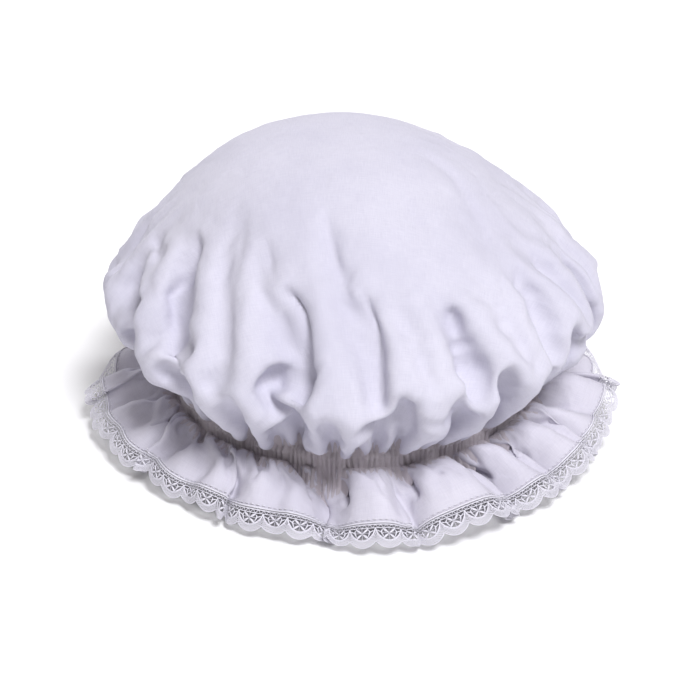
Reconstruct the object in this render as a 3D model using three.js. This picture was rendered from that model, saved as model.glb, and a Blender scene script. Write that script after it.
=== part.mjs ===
// A mob cap: a puffed crown of white cotton, gathered onto a narrow band, with a ruffle that is
// edged with scalloped lace. The cap stands on its lace. Millimetres, +Z up. The front faces -Y,
// and the origin is at the middle of the cap's box, on the surface that it stands on.
import * as THREE from "three";

// Driving dimensions.
const WALL = 1.2; // the cotton's wall, with its creases and the air between them
const LACE_WALL = 1.0;
const GAP = 0.3; // left between two pieces that are sewn together
const BAND_RADIUS = 90; // the gathered band, at the middle of its cloth
const BAND_TOP = 27; // height of the seam between the crown and the band
const BAND_HEIGHT = 6;
const GATHERS = 24; // the larger pleats that go through crown, band and ruffle
const GATHER_DEPTH = 1.8; // from the middle of such a pleat to its ridge
const LACE_RADIUS = 133; // the outer edge of the lace, on average
const LACE_HEIGHT = 3.5; // height of that edge, on average
const LACE_WIDTH = 12;
const HEM_WAVE = 5; // from the middle of a wave of the lace's edge to its crest
const SCALLOPS = 72;
const SCALLOP_DEPTH = 3;
const CROWN_COLUMNS = 96; // steps round the cap, four to a pleat
const RUFFLE_COLUMNS = 144; // two to a scallop
const LACE_COLUMNS = 288; // four to a scallop

// The crown's profile, from its top down to the band: how far out, how high, and how far the
// section stands off the axis towards +X.
const SECTIONS = [
  { radius: 0, height: 155, aside: -3 },
  { radius: 33, height: 152, aside: -7 },
  { radius: 61, height: 140, aside: -6 },
  { radius: 85, height: 121, aside: -3 },
  { radius: 107, height: 100, aside: 1 },
  { radius: 120, height: 82, aside: 2 },
  { radius: 125, height: 64, aside: 3 },
  { radius: 119, height: 46, aside: 3 },
  { radius: 106, height: 35, aside: 2 },
  { radius: 94, height: 32, aside: 1 },
  { radius: BAND_RADIUS, height: BAND_TOP + GAP, aside: 0 },
];

// The creases between the crown's puffs. A bearing is in degrees from the front towards +X. Each
// row gives it at the band, where the crown is widest and at the crease's upper end, then how far
// up the crown the crease reaches, as a share of the way to the top, its depth, and half its width
// in degrees.
const CREASES = [
  { band: -100, widest: -102, top: -106, reach: 0.42, depth: 9, width: 7 },
  { band: -80, widest: -82, top: -94, reach: 0.52, depth: 12, width: 7 },
  { band: -54, widest: -57, top: -80, reach: 0.58, depth: 13, width: 5.5 },
  { band: -39, widest: -36, top: -52, reach: 0.38, depth: 7, width: 4.5 },
  { band: -23, widest: -17, top: -34, reach: 0.62, depth: 13, width: 5 },
  { band: -9, widest: -7, top: -8, reach: 0.26, depth: 7, width: 4.5 },
  { band: 7, widest: 5, top: -6, reach: 0.68, depth: 9, width: 4.5 },
  { band: 23, widest: 19, top: 34, reach: 0.56, depth: 11, width: 5 },
  { band: 35, widest: 34, top: 36, reach: 0.24, depth: 6, width: 4.5 },
  { band: 49, widest: 47, top: 52, reach: 0.34, depth: 9, width: 6 },
  { band: 67, widest: 66, top: 61, reach: 0.42, depth: 7, width: 6 },
  { band: 84, widest: 84, top: 80, reach: 0.44, depth: 9, width: 7 },
  { band: 101, widest: 101, top: 97, reach: 0.42, depth: 9, width: 7 },
  { band: 119, widest: 118, top: 122, reach: 0.55, depth: 11, width: 7 },
  { band: 138, widest: 139, top: 144, reach: 0.38, depth: 8, width: 6 },
  { band: 155, widest: 154, top: 150, reach: 0.6, depth: 12, width: 6 },
  { band: 173, widest: 174, top: 178, reach: 0.42, depth: 8, width: 6 },
  { band: 191, widest: 190, top: 185, reach: 0.55, depth: 11, width: 7 },
  { band: 209, widest: 210, top: 214, reach: 0.4, depth: 8, width: 6 },
  { band: 226, widest: 226, top: 221, reach: 0.58, depth: 11, width: 6 },
  { band: 243, widest: 243, top: 247, reach: 0.4, depth: 9, width: 6 },
];
const WIDEST = 0.7; // share of the crown's run at which it is widest

// The lobes of the ruffle: the bearing at which each comes down onto the surface, and how far its
// lace reaches beyond the usual radius there.
const LOBES = [
  { bearing: -89, reach: -1 },
  { bearing: -68, reach: -2 },
  { bearing: -48, reach: -4 },
  { bearing: -28, reach: -5 },
  { bearing: -11, reach: -2 },
  { bearing: 4, reach: 3 },
  { bearing: 20, reach: 4 },
  { bearing: 37, reach: 5 },
  { bearing: 54, reach: 3 },
  { bearing: 72, reach: -1 },
  { bearing: 91, reach: 0 },
  { bearing: 110, reach: -4 },
  { bearing: 128, reach: -2 },
  { bearing: 146, reach: -1 },
  { bearing: 164, reach: 2 },
  { bearing: 183, reach: -1 },
  { bearing: 200, reach: 1 },
  { bearing: 218, reach: -1 },
  { bearing: 235, reach: -2 },
  { bearing: 253, reach: -4 },
];

// Shares of the run, from the top of each piece to its lower or outer edge.
const CROWN_ROWS = [0, 0.16, 0.31, 0.45, 0.58, 0.69, 0.8, 0.91, 1];
const BAND_ROWS = [0, 1];
const RUFFLE_ROWS = [0, 0.3, 0.64, 1];
const LACE_ROWS = [0, 0.5, 1];

const TURN = 360;
const RUFFLE_RUN = 49; // along the ruffle and its lace, from the band to the outer edge
const HEM = 1 - LACE_WIDTH / RUFFLE_RUN; // share of that run at which the cotton ends

const radians = THREE.MathUtils.degToRad;
const mix = THREE.MathUtils.lerp;
const smooth = (share) => THREE.MathUtils.smoothstep(share, 0, 1);
const wrapped = (bearing) => bearing - TURN * Math.round(bearing / TURN);

// The pleats at a bearing, from -1 in a pleat to 1 on its ridge.
const gather = (bearing) => Math.cos(radians(bearing * GATHERS));

function aroundAxis(bearing, radius, height, aside = 0) {
  const turn = radians(bearing);
  return new THREE.Vector3(aside + radius * Math.sin(turn), -radius * Math.cos(turn), height);
}

// The profile as a curve: x is the radius, y the distance aside and z the height.
const crownProfile = new THREE.CatmullRomCurve3(
  SECTIONS.map((row) => new THREE.Vector3(row.radius, row.aside, row.height)),
);

// The bearing of a crease at a share of the crown's run.
function creaseBearing(crease, run) {
  if (run > WIDEST) return mix(crease.widest, crease.band, (run - WIDEST) / (1 - WIDEST));
  const end = 1 - crease.reach;
  return mix(crease.top, crease.widest, smooth((run - end) / (WIDEST - end)));
}

// How far the creases take the crown in from its profile.
function creaseDepth(bearing, run) {
  let depth = 0;
  for (const crease of CREASES) {
    const growth = smooth((run - (1 - crease.reach)) / (0.7 * crease.reach));
    const across = Math.abs(wrapped(bearing - creaseBearing(crease, run))) / crease.width;
    depth += crease.depth * growth * Math.exp(-Math.pow(across, 1.5));
  }
  return depth * (1 - smooth((run - 0.85) / 0.15));
}

// A point of the crown, on the middle of its cloth.
function crownPoint(bearing, run) {
  const at = crownProfile.getPointAt(run);
  const along = crownProfile.getTangentAt(run);
  const pleat = GATHER_DEPTH * gather(bearing) * smooth((run - 0.7) / 0.3);
  if (run === 1) return aroundAxis(bearing, BAND_RADIUS + pleat, BAND_TOP + GAP);
  const out = pleat - creaseDepth(bearing, run);
  return aroundAxis(bearing, at.x - along.z * out, at.z + along.x * out, at.y);
}

// A point of the band.
function bandPoint(bearing, run) {
  const radius = BAND_RADIUS + GATHER_DEPTH * gather(bearing);
  return aroundAxis(bearing, radius, BAND_TOP - BAND_HEIGHT * run);
}

// The ruffle's wave at a bearing: -1 on a lobe and 1 between two lobes, and the lace's reach.
function waveAt(bearing) {
  const first = LOBES[0].bearing;
  const from = first + ((((bearing - first) % TURN) + TURN) % TURN);
  const closed = [...LOBES, { ...LOBES[0], bearing: first + TURN }];
  const after = closed.findIndex((lobe) => lobe.bearing > from);
  const here = closed[after - 1];
  const next = closed[after];
  const on = (from - here.bearing) / (next.bearing - here.bearing);
  return { lift: -Math.cos(TURN * radians(on)), reach: mix(here.reach, next.reach, smooth(on)) };
}

// A point of the ruffle, with its lace: run is 0 at the band and 1 at the lace's outer edge.
function frillPoint(bearing, run) {
  const { lift, reach } = waveAt(bearing);
  const start = BAND_TOP - BAND_HEIGHT - GAP;
  const pleat = GATHER_DEPTH * gather(bearing) * (1 - smooth(run / 0.4));
  const wave = HEM_WAVE * Math.pow(run, 0.8) * lift;
  const outer = LACE_RADIUS + reach - 0.7 * wave;
  const radius = mix(BAND_RADIUS, outer, Math.pow(run, 0.9)) + pleat;
  const fall = 1 - Math.pow(1 - run, 1.5);
  return aroundAxis(bearing, radius, mix(start, LACE_HEIGHT, fall) + wave);
}

const rufflePoint = (bearing, run) => frillPoint(bearing, run * HEM);

// A point of the lace. It keeps to the straight steps between the ruffle's columns, so that the
// gap between the two is even, and its outer edge goes in between two scallops.
function lacePoint(bearing, run) {
  const step = TURN / RUFFLE_COLUMNS;
  const column = Math.floor(bearing / step + 1e-6);
  const inner = HEM + GAP / RUFFLE_RUN;
  const notch = (SCALLOP_DEPTH / RUFFLE_RUN) * (0.5 + 0.5 * Math.cos(radians(bearing * SCALLOPS)));
  const place = mix(inner, 1 - notch, run);
  const before = frillPoint(column * step, place);
  const after = frillPoint((column + 1) * step, place);
  return before.lerp(after, bearing / step - column);
}

// A closed wall with a surface in its middle. The surface goes round the axis, rows are shares of
// its run, and a first row that is a single point closes the top. Where the wall would go below
// the surface that the cap stands on, it lies flat on it.
function wall(surface, rows, columns, thickness, level) {
  const step = TURN / columns;
  const positions = [];
  const index = [];
  const last = rows.length - 1;
  const pole = surface(0, 0).distanceTo(surface(TURN / 2, 0)) < 1e-6;

  // The normal on the side that faces away from the head.
  function normalAt(bearing, run) {
    const above = surface(bearing, Math.max(run - 0.01, 0));
    const below = surface(bearing, Math.min(run + 0.01, 1));
    const across = surface(bearing + step / 2, run).sub(surface(bearing - step / 2, run));
    return below.sub(above).cross(across).normalize();
  }

  const sides = [thickness / 2, -thickness / 2].map((offset) =>
    rows.map((run, row) => {
      const count = pole && row === 0 ? 1 : columns;
      return Array.from({ length: count }, (_, column) => {
        const normal = count === 1 ? new THREE.Vector3(0, 0, 1) : normalAt(column * step, run);
        if (level.includes(row)) normal.setZ(0).normalize();
        const point = surface(column * step, run).addScaledVector(normal, offset);
        const lowest = offset > 0 ? thickness : 0;
        positions.push(point.x, point.y, Math.max(point.z, lowest));
        return positions.length / 3 - 1;
      });
    }),
  );
  const corner = (side, row, column) => sides[side][row][column % sides[side][row].length];

  function quad(a, b, c, d) {
    if (a !== b) index.push(a, b, c);
    if (a === b || c !== d) index.push(a, c, d);
  }

  for (let column = 0; column < columns; column++) {
    const next = column + 1;
    for (let row = 0; row < last; row++) {
      const low = row + 1;
      quad(corner(0, row, next), corner(0, row, column), corner(0, low, column), corner(0, low, next));
      quad(corner(1, row, column), corner(1, row, next), corner(1, low, next), corner(1, low, column));
    }
    quad(corner(0, last, next), corner(0, last, column), corner(1, last, column), corner(1, last, next));
    if (!pole) quad(corner(0, 0, column), corner(0, 0, next), corner(1, 0, next), corner(1, 0, column));
  }
  const geometry = new THREE.BufferGeometry();
  geometry.setAttribute("position", new THREE.Float32BufferAttribute(positions, 3));
  geometry.setIndex(index);
  return geometry;
}

const PIECES = [
  {
    name: "crown",
    geometry: wall(crownPoint, CROWN_ROWS, CROWN_COLUMNS, WALL, [CROWN_ROWS.length - 1]),
    colour: 0xe9e9f2,
    roughness: 0.9,
  },
  {
    name: "gathered_band",
    geometry: wall(bandPoint, BAND_ROWS, CROWN_COLUMNS, WALL, [0, 1]),
    colour: 0xdcdce4,
    roughness: 0.92,
  },
  {
    name: "ruffle",
    geometry: wall(rufflePoint, RUFFLE_ROWS, RUFFLE_COLUMNS, WALL, [0]),
    colour: 0xe7e7f0,
    roughness: 0.9,
  },
  {
    name: "lace_edging",
    geometry: wall(lacePoint, LACE_ROWS, LACE_COLUMNS, LACE_WALL, []),
    colour: 0xf2f2f7,
    roughness: 0.8,
  },
];

// The cap is put with the middle of its box on the axis.
const box = new THREE.Box3();
for (const piece of PIECES) {
  piece.geometry.computeBoundingBox();
  box.union(piece.geometry.boundingBox);
}
const middle = box.getCenter(new THREE.Vector3());

const cap = new THREE.Group();
cap.name = "mob_cap";
for (const piece of PIECES) {
  const material = new THREE.MeshStandardMaterial({
    color: piece.colour,
    roughness: piece.roughness,
    metalness: 0,
  });
  piece.geometry.translate(-middle.x, -middle.y, 0);
  piece.geometry.computeVertexNormals();
  const mesh = new THREE.Mesh(piece.geometry, material);
  mesh.name = piece.name;
  cap.add(mesh);
}

export default cap;
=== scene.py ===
# %% [markdown]
# # A mob cap of gathered cotton, edged with lace
#
# A mob cap is thin cotton drawn in on a line of elastic. Above the elastic the cloth puffs up into
# the crown. Below it a ruffle flares out, and the ruffle's hem is edged with scalloped lace. The
# cells follow the order in which a milliner works: cut and gather the crown, gather the ruffle,
# pleat the band between them, then sew on the lace.

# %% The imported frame
import math
import bpy
import bmesh
import numpy as np
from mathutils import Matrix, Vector, noise
from mathutils.bvhtree import BVHTree


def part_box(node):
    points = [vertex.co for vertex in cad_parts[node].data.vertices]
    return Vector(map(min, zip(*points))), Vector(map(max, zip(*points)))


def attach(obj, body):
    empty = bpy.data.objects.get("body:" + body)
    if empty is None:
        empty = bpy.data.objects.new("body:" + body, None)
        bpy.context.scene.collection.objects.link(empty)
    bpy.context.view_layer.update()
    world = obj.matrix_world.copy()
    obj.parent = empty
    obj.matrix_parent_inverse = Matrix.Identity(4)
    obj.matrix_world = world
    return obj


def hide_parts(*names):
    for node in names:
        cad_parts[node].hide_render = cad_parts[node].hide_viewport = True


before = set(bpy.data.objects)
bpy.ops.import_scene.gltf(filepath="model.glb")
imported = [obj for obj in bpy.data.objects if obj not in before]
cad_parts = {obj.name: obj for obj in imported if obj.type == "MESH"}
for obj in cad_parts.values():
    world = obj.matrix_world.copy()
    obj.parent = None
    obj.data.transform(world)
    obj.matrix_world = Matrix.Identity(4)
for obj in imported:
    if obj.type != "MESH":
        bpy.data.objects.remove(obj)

MM = 0.001
scene = bpy.context.scene
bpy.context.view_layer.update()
band_low, band_high = (Vector(corner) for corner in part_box("gathered_band"))
AXIS = (band_low + band_high) / 2  # the middle of the head band, seen from above
rng = np.random.default_rng(7)
print("head band", band_low, "to", band_high)

# %% [markdown]
# The camera stands where the photographer's did, in front of the cap and 27 degrees above it. A
# long lens keeps the near side of the ruffle from swelling.

# %% Camera
ELEVATION = math.radians(27)
DISTANCE = 1.1
FRAME_WIDTH = 0.35  # what the picture's width takes in at the cap
SENSOR = 36  # millimetres
ASIDE = -0.002  # how far left of the cap's middle the picture's middle is
eye = Vector((ASIDE, -DISTANCE * math.cos(ELEVATION), 0.070 + DISTANCE * math.sin(ELEVATION)))
aim = Vector((ASIDE, -0.0129, 0.0446))  # what the middle of the picture shows


def add_object(name, data):
    obj = bpy.data.objects.new(name, data)
    scene.collection.objects.link(obj)
    return obj


def point_at(obj, place, target):
    obj.location = place
    obj.rotation_euler = (target - obj.location).to_track_quat("-Z", "Y").to_euler()


lens = bpy.data.cameras.new("camera")
lens.sensor_width = SENSOR
lens.lens = SENSOR * DISTANCE / FRAME_WIDTH
scene.camera = add_object("camera", lens)
point_at(scene.camera, eye, aim)
print("camera", DISTANCE, "m away, with a lens of", round(lens.lens), "mm")

# %% [markdown]
# Cloth could be modelled fold by fold, but real folds come from one simple thing: there is more
# cloth than room for it. So each cloth piece here has two sets of places for the same points. One
# is the cloth as it was cut, flat or as a plain hoop. The other is roughly where it ends up, sewn
# to the band. A shape key draws it from the first to the second while a cloth simulation keeps the
# threads at their cut length, and the spare cloth folds by itself. The points on the seam are
# pinned. The others are only drawn lightly towards their rough place, by a vertex group's weights.

# %% Helpers: points and meshes
def smooth(share):
    """From 0 to 1 with a soft start and end, while the share goes from 0 to 1."""
    share = np.clip(share, 0.0, 1.0)
    return share * share * (3 - 2 * share)


def coordinates(mesh):
    flat = np.empty(len(mesh.vertices) * 3)
    mesh.vertices.foreach_get("co", flat)
    return flat.reshape(-1, 3)


def link(name, bm):
    """A new object in the scene, from a bmesh that is then freed."""
    mesh = bpy.data.meshes.new(name)
    bm.to_mesh(mesh)
    bm.free()
    return add_object(name, mesh)


def finished_mesh(obj):
    """The object's mesh with its modifiers applied."""
    return bpy.data.meshes.new_from_object(obj.evaluated_get(bpy.context.evaluated_depsgraph_get()))


def swap(obj, mesh):
    """A new object with the given mesh, in the place and under the name of the old one."""
    name = obj.name
    bpy.data.objects.remove(obj)
    return add_object(name, mesh)


# %% Helpers: the gathering simulation
def weigh(obj, name, weights):
    group = obj.vertex_groups.new(name=name)
    for index, weight in enumerate(weights):
        group.add([index], float(weight), "REPLACE")
    return name


DRAW_IN = 12  # frames over which the cloth is drawn in, before it settles


def gather(obj, places, hold, puff, bending, pressure, frames):
    """Draws the cloth in from how it was cut to about its places, and returns where it settles."""
    obj.shape_key_add(name="cut", from_mix=False)
    key = obj.shape_key_add(name="gathered", from_mix=False)
    key.data.foreach_set("co", places.ravel())
    scene.frame_set(1)
    for at, value in ((1, 0.0), (1 + DRAW_IN, 1.0)):
        key.value = value
        key.keyframe_insert("value", frame=at)
    cloth = obj.modifiers.new("cloth", "CLOTH")
    settings = cloth.settings
    settings.quality = 6
    settings.mass = 0.0002
    settings.air_damping = 2
    settings.bending_model = "LINEAR"
    settings.tension_stiffness = settings.compression_stiffness = 30
    settings.shear_stiffness = 6
    settings.bending_stiffness = bending
    settings.tension_damping = settings.compression_damping = settings.shear_damping = 5
    settings.bending_damping = 0.5
    settings.vertex_group_mass = weigh(obj, "hold", hold)
    settings.pin_stiffness = 0.04
    settings.use_pressure = True
    settings.uniform_pressure_force = pressure
    settings.vertex_group_pressure = weigh(obj, "puff", puff)
    settings.effector_weights.gravity = 0.0
    cloth.collision_settings.use_collision = False
    cloth.point_cache.frame_start = 1
    cloth.point_cache.frame_end = frames
    for at in range(1, frames + 1):
        scene.frame_set(at)
    settled = finished_mesh(obj)
    result = coordinates(settled)
    moved = np.linalg.norm(result - places, axis=1) / MM
    print(obj.name, "settled", round(moved.mean(), 1), "mm from its rough place on average")
    obj = swap(obj, settled)
    obj.vertex_groups.clear()
    scene.frame_set(1)
    return obj, result


# %% [markdown]
# The crown is a puffed dome, wider than the head, that hangs over its own gathers. A turned shape
# alone would look like a mushroom, but it is a good start: a profile from the top to the band,
# turned about the head, gives each point of the cloth a rough place.

# %% Crown: profile
CLOTH_RADIUS = 222 * MM
GRID = 122  # squares across the round of cloth

# radius, height and distance aside, from the top to the band, in millimetres
SECTIONS = np.array([
    (0, 155, -3),
    (33, 152, -7),
    (61, 140, -6),
    (85, 121, -3),
    (107, 100, 1),
    (120, 82, 2),
    (125, 64, 3),
    (119, 46, 3),
    (106, 35, 2),
    (94, 32, 1),
    (90, 27.3, 0),
], float)


def spline(rows, steps=40):
    """The rows joined by a smooth curve, with the share of its length at each point of it."""
    ends = np.vstack([2 * rows[0] - rows[1], rows, 2 * rows[-1] - rows[-2]])
    t = np.linspace(0, 1, steps, endpoint=False)[:, None]
    pieces = []
    for a, b, c, d in zip(ends, ends[1:], ends[2:], ends[3:]):
        cubic = 2 * b + (c - a) * t + (2 * a - 5 * b + 4 * c - d) * t ** 2
        pieces.append(0.5 * (cubic + (3 * b - a - 3 * c + d) * t ** 3))
    points = np.vstack(pieces + [rows[-1:]])
    length = np.cumsum(np.linalg.norm(np.diff(points[:, :2], axis=0), axis=1))
    length = np.concatenate([[0], length])
    return points, length / length[-1]


profile, profile_share = spline(SECTIONS)


def on_profile(run):
    return [np.interp(run, profile_share, profile[:, column]) for column in range(3)]


print("crown profile:", len(profile), "points, down to a radius of", profile[-1, 0], "mm")

# %% [markdown]
# Between the puffs the cloth is drawn in. The photograph shows where in front, so a table lists
# those creases one by one, and goes on at an uneven pitch round the back. The deep creases are put
# into the rough place, because they take up cloth, and the simulation then rounds them and swells
# the puffs between them.

# %% Crown: creases
# A crease between two puffs: its bearing at the band, at the widest part and at its upper end, in
# degrees from the front; how far up the crown it reaches; the share of that over which it deepens;
# its depth in millimetres; and its width to the left and right, in degrees.
CREASES = [
    dict(band=-102, widest=-102, top=-110, reach=0.58, start=0.5, depth=16, left=7, right=5),
    dict(band=-84, widest=-86, top=-94, reach=0.40, start=0.5, depth=10, left=4, right=4),
    dict(band=-64, widest=-67, top=-78, reach=0.44, start=0.3, depth=22, left=8, right=5),
    dict(band=-44, widest=-48.5, top=-60, reach=0.62, start=0.5, depth=18, left=4, right=7),
    dict(band=-30, widest=-31, top=-46, reach=0.72, start=0.5, depth=5, left=4, right=4),
    dict(band=-17, widest=-13.5, top=-31, reach=0.66, start=0.5, depth=5, left=4, right=3),
    dict(band=-16, widest=-13.5, top=-19, reach=0.54, start=0.2, depth=17, left=5, right=2),
    dict(band=-18, widest=-19.5, top=-19.5, reach=0.385, start=0.22, depth=15, left=5, right=4),
    dict(band=-7, widest=-8, top=-8, reach=0.22, start=0.4, depth=5, left=2, right=2),
    dict(band=6, widest=4.5, top=-9, reach=0.75, start=0.5, depth=4, left=4, right=3),
    dict(band=6, widest=4.5, top=0, reach=0.56, start=0.15, depth=10, left=3.5, right=2),
    dict(band=11, widest=9, top=8.5, reach=0.32, start=0.25, depth=16, left=3, right=4),
    dict(band=23, widest=27.5, top=26.5, reach=0.48, start=0.25, depth=15, left=4.5, right=2),
    dict(band=40, widest=33, top=32, reach=0.32, start=0.3, depth=16, left=4, right=6),
    dict(band=50, widest=50, top=56, reach=0.54, start=0.5, depth=5, left=5, right=5),
    dict(band=57, widest=61, top=66, reach=0.36, start=0.3, depth=16, left=6, right=4),
    dict(band=74, widest=76, top=78, reach=0.46, start=0.5, depth=12, left=6, right=5),
    dict(band=90, widest=91, top=88, reach=0.40, start=0.4, depth=12, left=5, right=6),
    dict(band=105, widest=104, top=100, reach=0.52, start=0.5, depth=15, left=6, right=5),
    dict(band=120, widest=119, top=124, reach=0.60, start=0.4, depth=18, left=7, right=5),
    dict(band=138, widest=139, top=144, reach=0.42, start=0.4, depth=13, left=5, right=6),
    dict(band=155, widest=154, top=150, reach=0.62, start=0.4, depth=19, left=5, right=7),
    dict(band=173, widest=174, top=178, reach=0.44, start=0.4, depth=13, left=6, right=5),
    dict(band=191, widest=190, top=184, reach=0.60, start=0.4, depth=18, left=7, right=5),
    dict(band=209, widest=210, top=214, reach=0.44, start=0.4, depth=14, left=5, right=6),
    dict(band=226, widest=226, top=220, reach=0.62, start=0.4, depth=18, left=6, right=6),
    dict(band=242, widest=242, top=238, reach=0.40, start=0.4, depth=12, left=5, right=5),
]
WIDEST = 0.7  # share of the way from the top to the band at which the crown is widest
NARROWING = 0.35  # how much narrower a crease is at the widest part than at its upper end
DEEPEST = 26  # millimetres


def short_way(angle):
    """The same angle between -180 and 180 degrees."""
    return angle - 360 * np.round(angle / 360)


def crease_depth(bearing, run):
    depth = np.zeros_like(bearing)
    for crease in CREASES:
        end = 1 - crease["reach"]
        down = smooth((run - end) / (WIDEST - end))
        upper = crease["top"] + (crease["widest"] - crease["top"]) * down
        down = (run - WIDEST) / (1 - WIDEST)
        lower = crease["widest"] + (crease["band"] - crease["widest"]) * down
        across = short_way(bearing - np.where(run > WIDEST, lower, upper))
        width = np.where(across < 0, crease["left"], crease["right"])
        width = width * (1 - NARROWING * smooth((run - 0.5) / 0.2))
        growth = smooth((run - end) / (crease["start"] * crease["reach"]))
        depth += crease["depth"] * growth * np.exp(-np.abs(across / width) ** 1.6)
    return np.minimum(depth, DEEPEST)


def round_axis(bearing, radius, height, aside=0.0):
    """A place in metres, from a bearing in degrees and a radius and height in millimetres."""
    turn = np.radians(bearing)
    return np.stack([AXIS.x + MM * (aside + radius * np.sin(turn)),
                     AXIS.y - MM * radius * np.cos(turn),
                     MM * (height + 0 * turn)], axis=-1)


# How far the crown tucks in under its widest part, in millimetres, by bearing.
TUCK = np.array([
    (-180, 3), (-115, 3), (-92, 6), (-72, 11), (-50, 11), (-34, 8), (-20, 7), (0, 7), (18, 7),
    (30, 8), (44, 10), (60, 12), (76, 11), (92, 6), (110, 3)], float)
TUCK_AT, TUCK_SPREAD = 0.87, 0.1  # shares of the way from the top to the band


def by_bearing(table, column, bearing):
    return np.interp(bearing, table[:, 0], table[:, column], period=360)


def crown_place(bearing, run):
    radius, height, aside = on_profile(run)
    tuck = by_bearing(TUCK, 1, bearing) * np.exp(-((run - TUCK_AT) / TUCK_SPREAD) ** 2)
    radius, height = radius - tuck, height + 0.5 * tuck
    after, before = on_profile(np.clip(run + 0.004, 0, 1)), on_profile(np.clip(run - 0.004, 0, 1))
    d_radius, d_height = after[0] - before[0], after[1] - before[1]
    size = np.hypot(d_radius, d_height)
    depth = crease_depth(bearing, run) * (1 - 0.9 * smooth((run - 0.8) / 0.18))
    radius, height = radius + depth * d_height / size, height - depth * d_radius / size
    return round_axis(bearing, radius, height, aside)


print("crown:", len(CREASES), "deep creases")

# %% [markdown]
# The crown is cut as a round of cloth. It is modelled as a square grid, like the cloth's own
# threads, and trimmed to a circle, because a fan of triangles would fold along its spokes. The
# cloth's flat places are kept as its UV map, in metres, so that later patterns and creases follow
# the threads. The dome is held rather firmly, its lower half only lightly, and the rim is pinned.

# %% Crown: cutting and gathering
bm = bmesh.new()
bmesh.ops.create_grid(bm, x_segments=GRID, y_segments=GRID, size=CLOTH_RADIUS)
scraps = [face for face in bm.faces if face.calc_center_median().length > CLOTH_RADIUS - 0.3 * MM]
bmesh.ops.delete(bm, geom=scraps, context="FACES")
for vert in bm.verts:
    if vert.is_boundary:
        vert.co *= CLOTH_RADIUS / vert.co.length
uv = bm.loops.layers.uv.new("cloth")
for face in bm.faces:
    for loop in face.loops:
        loop[uv].uv = loop.vert.co.xy
crown = link("crown_cloth", bm)
cut = coordinates(crown.data)
run = np.minimum(np.linalg.norm(cut, axis=1) / CLOTH_RADIUS, 1.0)
bearing = np.degrees(np.arctan2(cut[:, 0], -cut[:, 1]))
rim = run > 1 - 1e-5
hold = 0.8 - 0.4 * smooth((run - 0.4) / 0.25) + 0.3 * smooth((run - 0.78) / 0.12)
hold = np.where(rim, 1.0, hold)
puff = smooth((run - 0.3) / 0.3)
crown, _ = gather(crown, crown_place(bearing, run), hold, puff, bending=0.6, pressure=5, frames=30)
print("crown:", len(cut), "points,", int(rim.sum()), "of them on the rim")

# %% [markdown]
# A simulation rounds off every fold, because its threads can't bend within one square of its grid.
# Real cotton creases more sharply, and it keeps the small crumples of being worn and washed. So the
# settled cloth is subdivided once, and its points are moved a little along their normals: inwards
# along lines that follow the creases in the photograph, and in and out by a ridged noise.

# %% Helpers: sharp creases and crumples
def refine(obj):
    """Subdivides once. Returns the new object, its points, normals and places on the flat cloth."""
    obj.modifiers.new("finer", "SUBSURF").levels = 1
    mesh = finished_mesh(obj)
    normals = np.empty(len(mesh.vertices) * 3)
    mesh.vertices.foreach_get("normal", normals)
    corners = np.empty(len(mesh.loops), dtype=int)
    mesh.loops.foreach_get("vertex_index", corners)
    flat = np.empty(len(mesh.loops) * 2)
    mesh.uv_layers["cloth"].data.foreach_get("uv", flat)
    cloth = np.zeros((len(mesh.vertices), 2))
    cloth[corners] = flat.reshape(-1, 2) / MM
    return swap(obj, mesh), coordinates(mesh), normals.reshape(-1, 3), cloth


def along_lines(points, lines):
    """How deep each point lies, in millimetres, for creases drawn as lines on the flat cloth."""
    deepest = np.zeros(len(points))
    for corners, depth, left, right, taper in lines:
        corners = np.asarray(corners, float)
        lengths = np.linalg.norm(np.diff(corners, axis=0), axis=1)
        walked, total = 0.0, lengths.sum()
        nearest = np.full(len(points), 1e9)
        share = np.zeros(len(points))
        for start, end, length in zip(corners, corners[1:], lengths):
            step = (end - start) / length
            offset = points - start
            t = np.clip(offset @ step, 0, length)
            away = offset - t[:, None] * step
            distance = np.linalg.norm(away, axis=1)
            side = offset[:, 0] * step[1] - offset[:, 1] * step[0]
            distance = distance / np.where(side < 0, right, left)
            closer = distance < nearest
            nearest = np.where(closer, distance, nearest)
            share = np.where(closer, walked + t, share)
            walked += length
        ends = smooth(share / taper) * smooth((total - share) / taper)
        deepest = np.maximum(deepest, depth * ends * np.exp(-nearest ** 1.4))
    return deepest


def crumple(points, sizes):
    """Ridged noise on the flat cloth: each size is a wavelength and a height in millimetres."""
    total = np.zeros(len(points))
    for wavelength, height in sizes:
        for index, (x, y) in enumerate(points / wavelength):
            bent = noise.noise((x * 0.6, y * 0.6, 9.0))
            total[index] += height * (0.5 - 2 * abs(noise.noise((x + bent, y - bent, wavelength))))
    return total


def soften(obj, chosen, times):
    """Evens out the points where chosen is true, so that no two sides of a crease cross."""
    bm = bmesh.new()
    bm.from_mesh(obj.data)
    verts = [vert for vert in bm.verts if chosen[vert.index] and not vert.is_boundary]
    for _ in range(times):
        bmesh.ops.smooth_vert(bm, verts=verts, factor=0.5,
                              use_axis_x=True, use_axis_y=True, use_axis_z=True)
    bm.to_mesh(obj.data)
    bm.free()


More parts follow.
